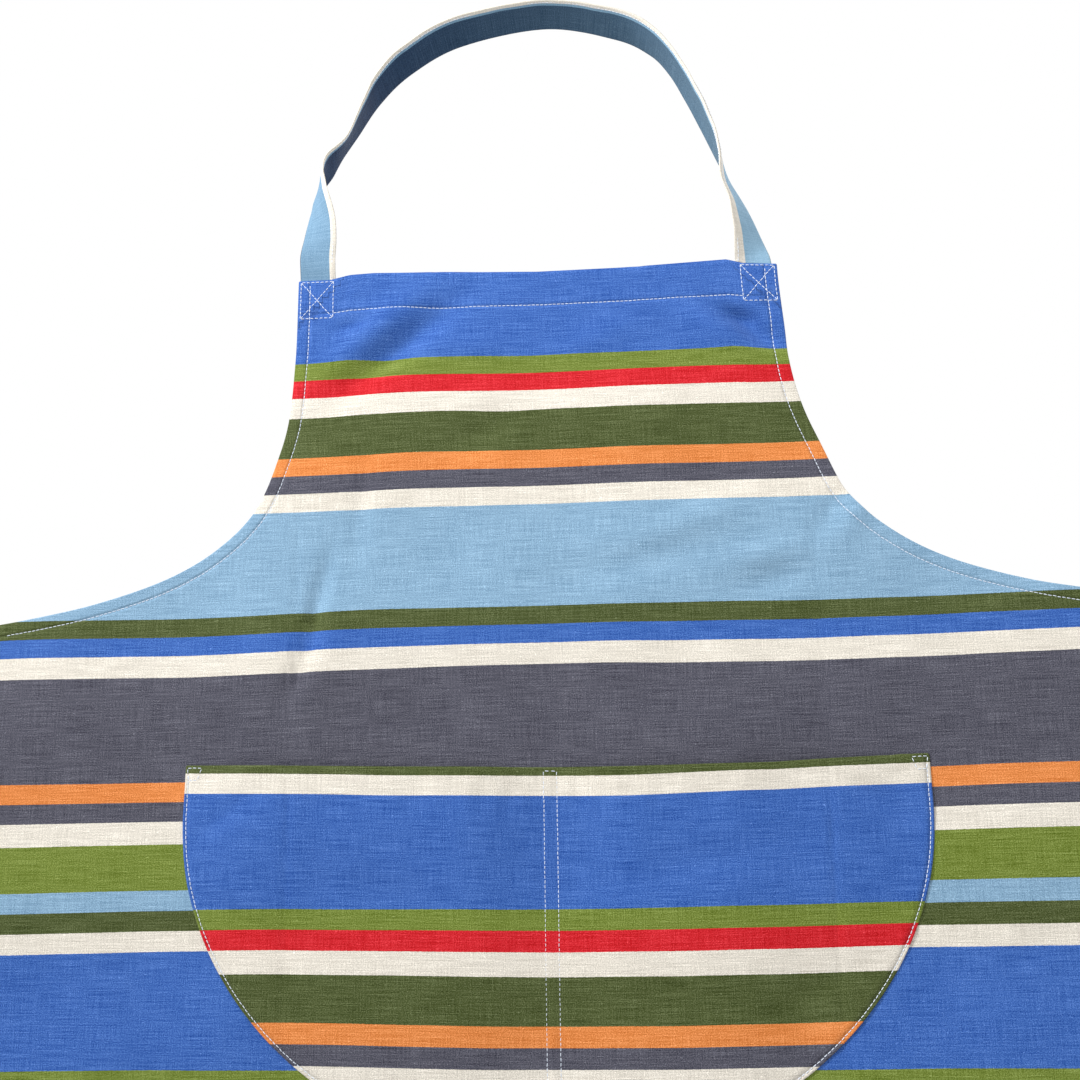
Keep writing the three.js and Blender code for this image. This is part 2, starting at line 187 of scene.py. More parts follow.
def thicken(obj, thickness):
    """Gives a sheet its thickness, half to each side, as mesh."""
    modifier = obj.modifiers.new("cloth thickness", "SOLIDIFY")
    modifier.thickness = thickness
    modifier.offset = 0
    modifier.use_rim = True
    depsgraph = bpy.context.evaluated_depsgraph_get()
    solid = bpy.data.meshes.new_from_object(obj.evaluated_get(depsgraph))
    obj.modifiers.clear()
    thin = obj.data
    obj.data = solid
    bpy.data.meshes.remove(thin)


# ---- The panel's outline ---------------------------------------------------------------------------------
ARMHOLE = catmull_rom(
    [
        (BIB_HALF_WIDTH, 0),
        (0.1685, 0.058),
        (0.173, 0.097),
        (0.182, 0.128),
        (0.1975, 0.165),
        (0.223, 0.1905),
        (0.258, 0.2105),
        (0.304, 0.226),
        (0.35, 0.2355),
        (SKIRT_HALF_WIDTH, ARMHOLE_DEPTH),
    ],
    20,
)
ARMHOLE_STEP = 0.0035
SKIRT_STEP = 0.006
edge_line = np.vstack(
    [
        resample(ARMHOLE, ARMHOLE_STEP),
        resample(np.array([(SKIRT_HALF_WIDTH, ARMHOLE_DEPTH), (SKIRT_HALF_WIDTH, LENGTH)]), SKIRT_STEP)[1:],
    ]
)


def pocket_half_width(v):
    below = np.clip((v - POCKET_TOP - POCKET_SIDE) / (POCKET_DEPTH - POCKET_SIDE), 0, 1)
    return POCKET_HALF_WIDTH * np.sqrt(1 - below**2)


def pocket_outline(inset, top_inset=0.0, step=0.004):
    """The pocket's sides and round bottom, inset from its edge, from its top left to its top right."""
    turn = np.linspace(0, math.pi, 240)
    half = POCKET_HALF_WIDTH - inset
    depth = POCKET_DEPTH - POCKET_SIDE - inset
    centre = POCKET_TOP + POCKET_SIDE
    arc = pairs(-half * np.cos(turn), centre + depth * np.sin(turn))
    top = POCKET_TOP + top_inset
    return resample(np.vstack([[(-half, top)], arc, [(half, top)]]), step)


POCKET_EDGE = pocket_outline(0, step=0.002)


def distance_to(line, u, v):
    """Distance from each point to a line, and how far along the line the nearest point is."""
    where = along(line)
    flat = pairs(u.ravel(), v.ravel())
    nearest = np.empty(len(flat))
    position = np.empty(len(flat))
    for first in range(0, len(flat), 4000):
        part = flat[first : first + 4000]
        gaps = np.linalg.norm(part[:, None] - line[None], axis=2)
        index = gaps.argmin(1)
        nearest[first : first + 4000] = gaps[np.arange(len(part)), index]
        position[first : first + 4000] = where[index]
    return nearest.reshape(u.shape), position.reshape(u.shape)


# ---- How the cloth hangs ---------------------------------------------------------------------------------
# The bib's top edge rises a little between the strap boxes: across, rise.
TOP_EDGE_RISE = [
    (-0.168, 0.0028), (-0.146, 0.0028), (-0.132, 0.006), (-0.115, 0.0066), (-0.06, 0.0045), (0.0, 0.0018),
    (0.06, 0.002), (0.134, 0.0045), (0.146, 0.001), (0.168, -0.0005),
]
RISE_FADES = 0.04
CORNER_PULL = 0.003  # the strap draws the bib's right corner inwards
PULL_FADES = 0.06
PULLED_PART = (0.05, 0.15)  # across, where the pull begins and is complete
BELOW_BIB_SHIFT = 0.0045  # the cloth below the bib lies this far to the right of it
SHIFTED_PART = (0.06, 0.15)  # down, where the shift begins and is complete

# Where the stripes bow away from level: across, down, half width, half height, shift downwards.
PANEL_BOWS = [
    (-0.075, 0.115, 0.06, 0.08, -0.0022),
    (0.03, 0.12, 0.11, 0.16, -0.001),
    (-0.06, 0.3, 0.12, 0.05, -0.0025),
    (0.33, 0.29, 0.14, 0.08, -0.0028),
    (0.000, 0.262, 0.6, 0.055, -0.001),
    (-0.105, 0.229, 0.07, 0.026, -0.0009),
    (0.31, 0.385, 0.11, 0.034, -0.0018),
    (0.24, 0.45, 0.11, 0.034, 0.0016),
]
POCKET_BOWS = [
    (0.035, 0.48, 0.13, 0.11, 0.0042),
    (0.05, 0.345, 0.18, 0.026, -0.0009),
]

# Creases: across, down, angle from level in degrees, half length, half width, height towards the back.
CREASES = [
    # The bib's left corner: a ridge and a valley that run down towards the armhole, and small ones near.
    (-0.114, 0.04, 38, 0.042, 0.0105, -0.0036),
    (-0.094, 0.05, 38, 0.046, 0.0095, 0.0046),
    (-0.13, 0.034, 12, 0.012, 0.003, 0.002),
    (-0.124, 0.017, 3, 0.022, 0.0012, 0.0005),
    (-0.118, 0.0195, 1, 0.024, 0.0013, -0.0004),
    (-0.062, 0.004, -24, 0.014, 0.0012, 0.0007),
    (-0.058, 0.006, -22, 0.013, 0.0016, -0.0007),
    (-0.135, 0.01, 70, 0.008, 0.003, 0.0008),
    # The bib's right corner.
    (0.084, 0.003, -14, 0.022, 0.0014, 0.0007),
    (0.09, 0.006, -12, 0.02, 0.0018, -0.0007),
    (0.143, 0.038, -14, 0.012, 0.0045, 0.0044),
    (0.151, 0.049, -34, 0.024, 0.008, 0.0056),
    (0.124, 0.05, -38, 0.028, 0.0095, -0.0034),
    (0.152, 0.04, -34, 0.014, 0.0055, -0.0016),
    (0.043, 0.05, 20, 0.03, 0.011, -0.0016),
    (-0.046, 0.054, -8, 0.026, 0.011, -0.0018),
    (-0.04, 0.112, 30, 0.032, 0.012, 0.0024),
    (0.01, 0.1, -20, 0.04, 0.012, -0.0016),
    # Between the bib and the pocket.
    (-0.152, 0.222, 76, 0.03, 0.0065, 0.0024),
    (-0.159, 0.256, 78, 0.022, 0.005, 0.0028),
    (-0.167, 0.28, 66, 0.02, 0.005, 0.0024),
    (-0.144, 0.27, 72, 0.046, 0.013, -0.0009),
    (-0.126, 0.17, 84, 0.04, 0.008, 0.0014),
    (0.186, 0.176, 60, 0.02, 0.0065, 0.0016),
    (0.204, 0.178, 60, 0.022, 0.0075, -0.0016),
    (0.146, 0.222, 10, 0.022, 0.01, 0.002),
    (0.146, 0.204, 10, 0.026, 0.009, -0.0014),
    (0.062, 0.206, 12, 0.05, 0.013, 0.002),
    (0.094, 0.182, 20, 0.04, 0.011, -0.0015),
    (-0.298, 0.264, 38, 0.016, 0.003, 0.001),
    (-0.29, 0.268, 38, 0.016, 0.0036, -0.0009),
    (0.224, 0.331, 34, 0.012, 0.003, 0.0008),
    # Beside the pocket.
    (0.236, 0.431, 24, 0.014, 0.003, 0.0008),
    (0.244, 0.44, 20, 0.014, 0.0036, -0.0008),
    (0.3, 0.446, 30, 0.022, 0.005, 0.0009),
    (-0.3, 0.4, -24, 0.022, 0.005, 0.0008),
    (0.302, 0.24, 14, 0.06, 0.006, -0.001),
]

# Where the apron was folded for its packet: across, how deep the pressed line is.
PRESSED_FOLDS = [(-0.1675, 0.0008), (-0.001, -0.00045), (0.1735, 0.00085)]
PRESSED_WIDTH = 0.0022

# The cloth's soft waves, and where each thing begins and is complete, as distances down from the top edge.
PANEL_WAVES = 0.0011
SKIRT_WAVES = 0.0062
DIMPLES = 0.001
WAVES_LEAN = 0.05
WAVES_BEGIN = (0.02, 0.12)
SKIRT_HANGS = (0.5, 0.88)
FOLDS_BEGIN = (0.15, 0.19)
HELD_FLAT_TO = (0.028, 0.035)  # the sewn strap ends hold the bib's corners flat down to here
HELD_FLAT_FROM = (BIB_HALF_WIDTH - 0.038, BIB_HALF_WIDTH - 0.026)  # and from here across to the edge


def bow(u, v, bows):
    """How far the stripes are shifted down at each point."""
    total = 0.0
    for across, down, half_width, half_height, shift in bows:
        total = total + shift * np.exp(-(((u - across) / half_width) ** 2) - ((v - down) / half_height) ** 2)
    return total


def bump(u, v, crease):
    across, down, angle, half_length, half_width, height = crease
    c, s = math.cos(math.radians(angle)), math.sin(math.radians(angle))
    lengthwise = (u - across) * c - (v - down) * s
    sideways = (u - across) * s + (v - down) * c
    return height * np.exp(-((lengthwise / half_length) ** 2) - (sideways / half_width) ** 2)


def relief(u, v):
    """How far the panel's middle surface stands behind its plane."""
    free = smoothstep(*WAVES_BEGIN, v)
    wave_height = PANEL_WAVES * free + SKIRT_WAVES * smoothstep(*SKIRT_HANGS, v)
    lean = WAVES_LEAN * np.sin(v / 0.21)
    waves = (
        np.sin((u + lean) / 0.034 + 0.8)
        + 0.7 * np.sin((u - 0.6 * lean) / 0.0215 + 2.1)
        + 0.35 * np.sin(u / 0.0127 + 4 * v)
    ) / 1.6
    dimples = DIMPLES * np.sin(u / 0.041 + v / 0.03) * np.sin(v / 0.047 - u / 0.083) * free
    hanging = wave_height * waves + dimples
    for crease in CREASES:
        hanging = hanging + bump(u, v, crease)
    for across, depth in PRESSED_FOLDS:
        away = np.abs(u - across) / PRESSED_WIDTH
        line = np.exp(-away) - 0.35 * np.exp(-away / 4)
        hanging = hanging + depth * line * smoothstep(*FOLDS_BEGIN, v)
    held = smoothstep(*HELD_FLAT_FROM, np.abs(u)) * (1 - smoothstep(*HELD_FLAT_TO, v))
    return hanging * (1 - held)


def place(u, v):
    """The panel's middle surface."""
    rise = np.interp(u, *zip(*TOP_EDGE_RISE)) * np.exp(-np.maximum(v, 0) / RISE_FADES)
    pull = CORNER_PULL * smoothstep(*PULLED_PART, u) * (1 - smoothstep(0, PULL_FADES, v))
    x = u + BELOW_BIB_SHIFT * smoothstep(*SHIFTED_PART, v) - pull
    return np.stack([x, PANEL_Y + relief(u, v), TOP - v + rise], axis=-1)


def backward(u, v, reach=0.0008):
    """Unit normals of the panel's middle surface, towards the back."""
    across = place(u + reach, v) - place(u - reach, v)
    down = place(u, v + reach) - place(u, v - reach)
    normal = unit(np.cross(down, across))
    return np.where(normal[..., 1:2] < 0, -normal, normal)


def behind(u, v, back):
    """Points a distance "back" behind the panel's middle surface."""
    return place(u, v) + backward(u, v) * np.asarray(back)[..., None]


# ---- Materials -------------------------------------------------------------------------------------------
def linear(red, green, blue, brightness=1.0):
    """An sRGB colour of 0 to 255 as linear values."""
    values = []
    for c in (red, green, blue):
        c = c / 255
        values.append(brightness * (c / 12.92 if c <= 0.04045 else ((c + 0.055) / 1.055) ** 2.4))
    return (*values, 1.0)


DYED = 0.69  # the dyes allow for a studio that lights a front face more than its white backdrop
BLUE = linear(65, 110, 193, DYED)
LIGHT_GREEN = linear(123, 141, 58, DYED)
RED = linear(222, 34, 45, DYED)
CREAM = linear(244, 237, 224, DYED)
DARK_GREEN = linear(85, 96, 52, DYED)
ORANGE = linear(240, 146, 77, DYED)
CHARCOAL = linear(91, 91, 104, DYED)
LIGHT_BLUE = linear(145, 183, 213, DYED)
# Painted shade on the tape: the first face colour and the first lining colour are darker, shaded copies
# painted near the tape's first end, on the strap's left side. The second ones are the tape in light.
FACE_PAINTED_SHADE = linear(126, 163, 192, DYED)
FACE_LIT = linear(151, 190, 217, DYED)
LINING_PAINTED_SHADE = linear(30, 56, 90, DYED)
LINING_LIT = linear(92, 124, 147, DYED)
THREAD_DYE = 0.9  # thread is whiter than the cloth's cream
THREAD = linear(240, 246, 254, THREAD_DYE)
THREAD_SHADE = linear(208, 220, 240, THREAD_DYE)

# The stripes of the woven cloth, from the top of the bib's first blue: width, colour.
NARROW = 0.013
MEDIUM = 0.029
WIDE = 0.069
STRIPES = [
    (WIDE, BLUE), (NARROW, LIGHT_GREEN), (NARROW, RED), (NARROW, CREAM), (MEDIUM, DARK_GREEN),
    (NARROW, ORANGE), (NARROW, CHARCOAL), (NARROW, CREAM), (WIDE, LIGHT_BLUE), (NARROW, DARK_GREEN),
    (NARROW, BLUE), (NARROW, CREAM), (WIDE, CHARCOAL), (NARROW, ORANGE), (NARROW, CHARCOAL),
    (NARROW, CREAM), (MEDIUM, LIGHT_GREEN), (NARROW, LIGHT_BLUE), (NARROW, DARK_GREEN), (NARROW, CREAM),
]
REPEAT = sum(width for width, _ in STRIPES)
PANEL_PATTERN = 0.009
POCKET_PATTERN = -0.0175


class Nodes:
    """A material's node tree, with short calls for what these materials use."""

    def __init__(self, name):
        self.material = bpy.data.materials.new(name)
        self.material.use_nodes = True
        self.tree = self.material.node_tree
        self.surface = self.tree.nodes["Principled BSDF"]

    def set(self, socket, value):
        if isinstance(value, bpy.types.NodeSocket):
            self.tree.links.new(value, socket)
        else:
            socket.default_value = value

    def add(self, kind, inputs=(), output=0, **options):
        node = self.tree.nodes.new(kind)
        for key, value in options.items():
            setattr(node, key, value)
        for key, value in dict(inputs).items():
            self.set(node.inputs[key], value)
        return node.outputs[output]

    def math(self, operation, a, b=0.0, clamp=False):
        return self.add("ShaderNodeMath", {0: a, 1: b}, operation=operation, use_clamp=clamp)

    def times(self, a, b):
        return self.math("MULTIPLY", a, b)

    def plus(self, a, b):
        return self.math("ADD", a, b)

    def minus(self, a, b):
        return self.math("SUBTRACT", a, b)

    def swing(self, value, amount):
        """A noise value's swing either way, times an amount."""
        return self.times(self.minus(value, 0.5), amount)

    def vector(self, operation, a, b=(0, 0, 0)):
        return self.add("ShaderNodeVectorMath", {0: a, 1: b}, operation=operation)

    def uv(self, layer):
        return self.add("ShaderNodeUVMap", uv_map=layer)

    def noise(self, at, scale, detail=2.0, roughness=0.5, vector_scale=(1, 1, 1)):
        stretched = self.vector("MULTIPLY", at, vector_scale)
        inputs = {"Vector": stretched, "Scale": scale, "Detail": detail, "Roughness": roughness}
        return self.add("ShaderNodeTexNoise", inputs, noise_dimensions="3D")

    def mix(self, share, a, b):
        inputs = {"Factor": share, "A": a, "B": b}
        return self.add("ShaderNodeMix", inputs, output="Result", data_type="RGBA")

    def ramp(self, at, stops, interpolation="CONSTANT"):
        node = self.tree.nodes.new("ShaderNodeValToRGB")
        node.color_ramp.interpolation = interpolation
        elements = node.color_ramp.elements
        while len(elements) > 1:
            elements.remove(elements[-1])
        for i, (position, colour) in enumerate(stops):
            element = elements[0] if i == 0 else elements.new(position)
            element.position = position
            element.color = colour
        self.set(node.inputs["Fac"], at)
        return node.outputs["Color"]

    def finish(self, values):
        for key, value in values.items():
            self.set(self.surface.inputs[key], value)
        return self.material

    def height(self, value, distance, normal=None):
        inputs = {"Height": value, "Distance": distance, "Strength": 1.0}
        if normal is not None:
            inputs["Normal"] = normal
        return self.add("ShaderNodeBump", inputs)


def separate(n, at):
    node = n.tree.nodes.new("ShaderNodeSeparateXYZ")
    n.set(node.inputs[0], at)
    return node.outputs[0], node.outputs[1]


YARN_REPEAT = 0.0009  # two yarns of the plain weave


def woven(n, cloth, colour, normal=None, contrast=1.0):
    """Plain-woven cotton of uneven yarn: streaks both ways, pale flecks, the weave and a soft sheen."""
    weft = n.noise(cloth, 1.0, 3.0, 0.6, (34, 1500, 1))
    warp = n.noise(cloth, 1.0, 3.0, 0.6, (1500, 50, 1))
    slub = n.noise(cloth, 1.0, 1.0, 0.5, (30, 900, 1))
    grain = n.noise(cloth, 1500.0, 1.0, 0.5)
    cloudy = n.noise(cloth, 26.0, 2.0, 0.5)
    shade = n.swing(weft, 0.34 * contrast)
    for value, amount in ((warp, 0.2), (grain, 0.46), (cloudy, 0.05)):
        shade = n.plus(shade, n.swing(value, amount * contrast))
    thick = n.times(n.minus(slub, 0.68), 0.5 * contrast)
    shade = n.plus(shade, n.math("MAXIMUM", thick, 0.0))
    fleck_at = n.vector("MULTIPLY", cloth, (330, 700, 1))
    fleck = n.add("ShaderNodeTexVoronoi", {"Vector": fleck_at, "Scale": 1.0}, output="Distance")
    chosen = n.math("GREATER_THAN", n.noise(cloth, 420.0, 0.0), 0.7)
    dot = n.times(n.math("LESS_THAN", fleck, 0.26), chosen)
    shade = n.plus(shade, n.times(dot, 0.1 * contrast))
    even = n.add("ShaderNodeGamma", {"Color": colour, "Gamma": 1 / 2.2})
    uneven = n.vector("MAXIMUM", n.vector("ADD", even, shade), (0, 0, 0))
    dyed = n.add("ShaderNodeGamma", {"Color": uneven, "Gamma": 2.2})

    across, down = separate(n, cloth)
    thread = 2 * math.pi / YARN_REPEAT
    over = n.math("SINE", n.times(across, thread))
    under = n.math("SINE", n.times(down, thread))
    weave = n.times(n.plus(n.times(over, under), 1.0), 0.5)
    yarn = n.plus(n.times(weft, 0.6), n.times(warp, 0.4))
    normal = n.height(yarn, 0.00012, normal)
    normal = n.height(weave, 0.00004, normal)
    return n.finish({
        "Base Color": dyed, "Normal": normal, "Roughness": 0.88,
        "Specular IOR Level": 0.15, "Sheen Weight": 0.06, "Sheen Roughness": 0.5,
    })


def seam_height(n, seam):
    """Relief beside a sewn seam: a groove at the stitches and small puckers across it."""
    distance, position = separate(n, seam)
    away = n.math("ABSOLUTE", distance)
    steep = n.math("POWER", n.math("DIVIDE", away, 0.0011), 2.0)
    groove = n.math("EXPONENT", n.times(steep, -1.0))
    near = n.math("EXPONENT", n.times(n.math("DIVIDE", away, 0.0035), -1.0))
    pucker_at = n.add("ShaderNodeCombineXYZ", {0: position, 1: n.times(distance, 0.25)})
    pucker = n.noise(pucker_at, 260.0, 2.0, 0.55)
    raised = n.times(near, n.minus(pucker, 0.5))
    return n.minus(n.times(raised, 1.1), groove)


STRIPES_WANDER = 0.005  # how far a stripe's edge would move for a full swing of its noise
STRIPES_FRAY = 0.0005


def striped_cotton():
    n = Nodes("striped_cotton_weave")
    cloth = n.uv("Cloth")
    wander = n.noise(cloth, 5.0, 2.0, 0.4)
    fray = n.noise(cloth, 1.0, 1.0, 0.5, (700, 60, 1))
    _, down = separate(n, cloth)
    level = n.plus(down, n.swing(wander, STRIPES_WANDER))
    level = n.plus(level, n.swing(fray, STRIPES_FRAY))
    share = n.math("FRACT", n.plus(n.math("DIVIDE", level, REPEAT), 2.0))
    stops = []
    start = 0.0
    for width, colour in STRIPES:
        stops.append((start / REPEAT, colour))
        start += width
    colour = n.ramp(share, stops)
    sewn = n.height(seam_height(n, n.uv("Seam")), 0.0006)
    return woven(n, cloth, colour, sewn)


TAPE_SEAM = 0.0021  # the tape's seam runs this far inside its folded edge
PALE_BAND = 0.0052  # the cream stripe on the outer face, up to the folded edge
PALE_WIDENS = 0.0045  # by this much for each metre of tape, which wasn't folded quite straight
PALE_INSIDE = 0.0022  # the same stripe past the fold, on the inner face
LINING_STARTS = 0.004  # between the two, a line of the outer face's blue
SHADE_LIFTS_FROM = 0.2  # painted shade: the tape is darker near its first end and lightens between these distances from it
SHADE_LIFTS_TO = 0.58


def tape_cotton():
    """Folded tape: "Cloth" runs once round the tape, outer face first, and along it."""
    n = Nodes("tape_weave")
    cloth = n.uv("Cloth")
    round_it, along_it = separate(n, cloth)
    wobble = n.swing(n.noise(cloth, 40.0, 2.0), 0.0012)
    past_fold = n.minus(n.plus(round_it, wobble), TAPE_WIDTH)
    band = n.plus(n.times(along_it, PALE_WIDENS), PALE_BAND)
    pale = n.math("GREATER_THAN", n.plus(past_fold, band), 0.0)
    past_pale = n.math("GREATER_THAN", past_fold, PALE_INSIDE)
    inside = n.math("GREATER_THAN", past_fold, LINING_STARTS)
    # painted shade: the face and the lining darken towards the tape's first end
    lit_share = n.math("DIVIDE", n.minus(along_it, SHADE_LIFTS_FROM), SHADE_LIFTS_TO - SHADE_LIFTS_FROM, clamp=True)
    face = n.mix(lit_share, FACE_PAINTED_SHADE, FACE_LIT)
    lining = n.mix(lit_share, LINING_PAINTED_SHADE, LINING_LIT)
    colour = n.mix(pale, face, CREAM)
    colour = n.mix(past_pale, colour, face)
    colour = n.mix(inside, colour, lining)
    from_seam = n.minus(round_it, TAPE_WIDTH - TAPE_SEAM)
    seam = n.add("ShaderNodeCombineXYZ", {0: from_seam, 1: along_it})
    sewn = n.height(seam_height(n, seam), 0.0004)
    return woven(n, cloth, colour, sewn, 0.6)


def sewing_thread():
    n = Nodes("thread_twist")
    place_at = n.add("ShaderNodeTexCoord", output="Object")
    fibres = n.noise(place_at, 2600.0, 2.0, 0.6)
    shade = n.mix(fibres, THREAD_SHADE, THREAD)
    normal = n.height(fibres, 0.00002)
    return n.finish({"Base Color": shade, "Normal": normal, "Roughness": 0.7, "Sheen Weight": 0.2})


STRIPED = striped_cotton()
TAPE = tape_cotton()
SEWING = sewing_thread()


# ---- Camera ----------------------------------------------------------------------------------------------
CAMERA_AT = (0.0701, -0.9446, -0.6649)
CAMERA_TURN = 4.485  # degrees to the left, from looking along +Y
CAMERA_RISE = 14.499  # degrees above level
CAMERA_ROLL = -0.716
LENS_MM = 46.667
SENSOR_MM = 36


def make_camera():
    data = bpy.data.cameras.new("camera")
    data.sensor_width = SENSOR_MM
    data.lens = LENS_MM
    data.dof.use_dof = False
    camera = add_object("camera", data)
    camera.matrix_world = (
        Matrix.Translation(CAMERA_AT)
        @ Matrix.Rotation(math.radians(CAMERA_TURN), 4, "Z")
        @ Matrix.Rotation(math.radians(90 + CAMERA_RISE), 4, "X")
        @ Matrix.Rotation(math.radians(CAMERA_ROLL), 4, "Z")
    )
    bpy.context.scene.camera = camera


# ---- Main panel ------------------------------------------------------------------------------------------
FOLD = CLOTH + 0.0003  # the second layer of a hem lies this far behind the first
OVER_SIDE_HEM = 0.0009  # the end hems lie over the side hems
PANEL_COLUMNS = 150


def hem_rows(width):
    """Distance from the folded edge and from the first layer, for each row of a hem."""
    turn = [(-0.00022, 0.12 * FOLD), (-0.00035, 0.5 * FOLD), (-0.00022, 0.88 * FOLD), (0.0004, FOLD)]
    flat = [(width * t, FOLD) for t in (0.2, 0.45, 0.7, 0.9, 0.97)]
    return turn + flat + [(width, 0.75 * FOLD)]


def seam_layer(u, v):
    """Signed distance to the nearest hem seam, and the position along it, for each point of the panel."""
    seam_inset = SIDE_HEM - SEAM_INSET
    to_edge, position = distance_to(resample(edge_line, 0.0015), np.abs(u), v)
    side = to_edge - seam_inset
    top = v - (TOP_HEM - SEAM_INSET)
    bottom = LENGTH - BOTTOM_HEM + SEAM_INSET - v
    distance = side
    for other in (top, bottom):
        closer = np.abs(other) < np.abs(distance)
        distance = np.where(closer, other, distance)
        position = np.where(closer, u + 3, position)
    return pairs(distance, position)


def make_panel():
    margins = [0, 0.0025, 0.005, 0.0075, 0.01, 0.014]  # closer columns beside the hems
    middle = np.linspace(-1, 1, PANEL_COLUMNS)
    half = edge_line[:, :1]
    inner = half - margins[-1]
    u = np.hstack([-half + np.array(margins[:-1]), middle * inner, half - np.array(margins[-2::-1])])
    v = np.repeat(edge_line[:, 1:], u.shape[1], axis=1)
    columns = u.shape[1]
    rows = u.shape[0]

    inward = inward_from(edge_line)
    inward[-1] = inward[-2]
    side_rows = hem_rows(SIDE_HEM)
    first_row = len(hem_rows(TOP_HEM))
    first_column = len(side_rows)
    total_rows = rows + first_row + len(hem_rows(BOTTOM_HEM))
    total_columns = columns + 2 * first_column
    position = np.zeros((total_rows, total_columns, 3))
    cloth = np.zeros((total_rows, total_columns, 2))
    seam = np.full((total_rows, total_columns, 2), 0.5)
    used = np.zeros((total_rows, total_columns), bool)
    rows_here = slice(first_row, first_row + rows)
    columns_here = slice(first_column, first_column + columns)
    body = (rows_here, columns_here)
    position[body] = behind(u, v, 0)
    cloth[body] = pairs(u, v + PANEL_PATTERN - bow(u, v, PANEL_BOWS))
    seam[body] = seam_layer(u, v)
    used[body] = True

    for k, (inset, back) in enumerate(side_rows):
        for sign, column in ((-1, first_column - 1 - k), (1, first_column + columns + k)):
            at = edge_line + inward * inset
            unfolded = edge_line - inward * abs(inset)
            at_v = np.maximum(at[:, 1], 0.0003)
            position[rows_here, column] = behind(sign * at[:, 0], at_v, back)
            shifted = bow(sign * edge_line[:, 0], edge_line[:, 1], PANEL_BOWS)
            woven_at = unfolded[:, 1] + PANEL_PATTERN - shifted
            cloth[rows_here, column] = pairs(sign * unfolded[:, 0], woven_at)
            from_seam = np.full(rows, inset - SIDE_HEM + SEAM_INSET)
            seam[rows_here, column] = pairs(from_seam, edge_line[:, 1])
            used[rows_here, column] = True

    for width, down, outer, first, step in (
        (TOP_HEM, 1, 0.0, first_row - 1, -1),
        (BOTTOM_HEM, -1, LENGTH, first_row + rows, 1),
    ):
        edge_u = u[0] if down > 0 else u[-1]
        raised = OVER_SIDE_HEM * smoothstep(SIDE_HEM + 0.004, SIDE_HEM, edge_u.max() - np.abs(edge_u))
        for k, (inset, back) in enumerate(hem_rows(width)):
            row = first + step * k
            share = np.clip(back / FOLD, 0, 1)
            at_v = np.full(columns, outer + down * inset)
            position[row, columns_here] = behind(edge_u, at_v, back + raised * share)
            woven_at = np.full(columns, outer - down * abs(inset) + PANEL_PATTERN)
            cloth[row, columns_here] = pairs(edge_u, woven_at)
            from_seam = np.full(columns, inset - width + SEAM_INSET)
            seam[row, columns_here] = pairs(from_seam, edge_u + 3)
            used[row, columns_here] = True

    keep = used[:-1, :-1] & used[1:, :-1] & used[:-1, 1:] & used[1:, 1:]
    index = np.full(used.size, -1)
    index[used.ravel()] = np.arange(used.sum())
    faces = [
        tuple(int(index[i]) for i in face) for face in grid_faces(total_rows, total_columns, keep=keep)
    ]
    layers = {"Cloth": cloth.reshape(-1, 2)[used.ravel()], "Seam": seam.reshape(-1, 2)[used.ravel()]}
    panel = new_mesh("main_panel_cloth", position.reshape(-1, 3)[used.ravel()], faces, STRIPED, layers)
    thicken(panel, CLOTH)
    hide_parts("main_panel")
    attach(panel, "apron")
    return panel


# ---- Pocket ----------------------------------------------------------------------------------------------
POCKET_GAP = 0.0011  # between the panel's middle surface and the pocket's, where they are sewn together
POCKET_STANDS = 0.0042  # it stands this much further out at the mouth of each compartment
POCKET_CLOSES = 0.75  # the share of that which is lost further down
POCKET_CLOSES_BY = 0.16
POCKET_PUFF = 0.0005  # the cloth puffs up beside its seams
POCKET_ROWS = 96
POCKET_COLUMNS = 181

MOUTH_WRINKLES = 0.0004
MOUTH_WRINKLES_V = 0.352

# As CREASES, on the pocket.
POCKET_CREASES = [
    (-0.205, 0.365, 35, 0.03, 0.006, 0.0009),
    (0.205, 0.362, -35, 0.03, 0.006, 0.0009),
    (-0.02, 0.35, 60, 0.014, 0.003, 0.0006),
    (0.022, 0.348, -58, 0.014, 0.003, 0.0006),
    (0.17, 0.47, 24, 0.03, 0.007, 0.0008),
    (-0.18, 0.44, -30, 0.04, 0.008, 0.0008),
    (0.09, 0.4, 12, 0.06, 0.012, 0.0008),
    (-0.09, 0.42, -10, 0.06, 0.012, 0.0008),
]


def pocket_stand(u, v):
    """How far the pocket stands in front of the panel: sewn flat at its edge and divider, open between."""
    inside, _ = distance_to(POCKET_EDGE, u, v)
    from_edge = smoothstep(0.004, 0.07, inside)
    from_divider = smoothstep(0.004, 0.06, np.abs(u))
    openness = 1 - POCKET_CLOSES * smoothstep(0.0, POCKET_CLOSES_BY, v - POCKET_TOP)
    beside_seams = smoothstep(0.0025, 0.006, inside) * smoothstep(0.004, 0.008, np.abs(u))
    between_rows = 1 - smoothstep(0.001, 0.0042, np.abs(u))
    puff = POCKET_PUFF * (beside_seams + between_rows)
    return POCKET_GAP + POCKET_STANDS * from_edge * from_divider * openness + puff


def pocket_relief(u, v):
    """Creases, and small wrinkles along the mouth hem's seam."""
    ripple = np.sin(u / 0.004 + 9 * np.sin(u / 0.05))
    near_hem = np.exp(-(((v - MOUTH_WRINKLES_V) / 0.008) ** 2))
    wrinkles = MOUTH_WRINKLES * ripple * near_hem * smoothstep(0.0, 0.02, POCKET_HALF_WIDTH - np.abs(u))
    return wrinkles + sum(bump(u, v, crease) for crease in POCKET_CREASES)


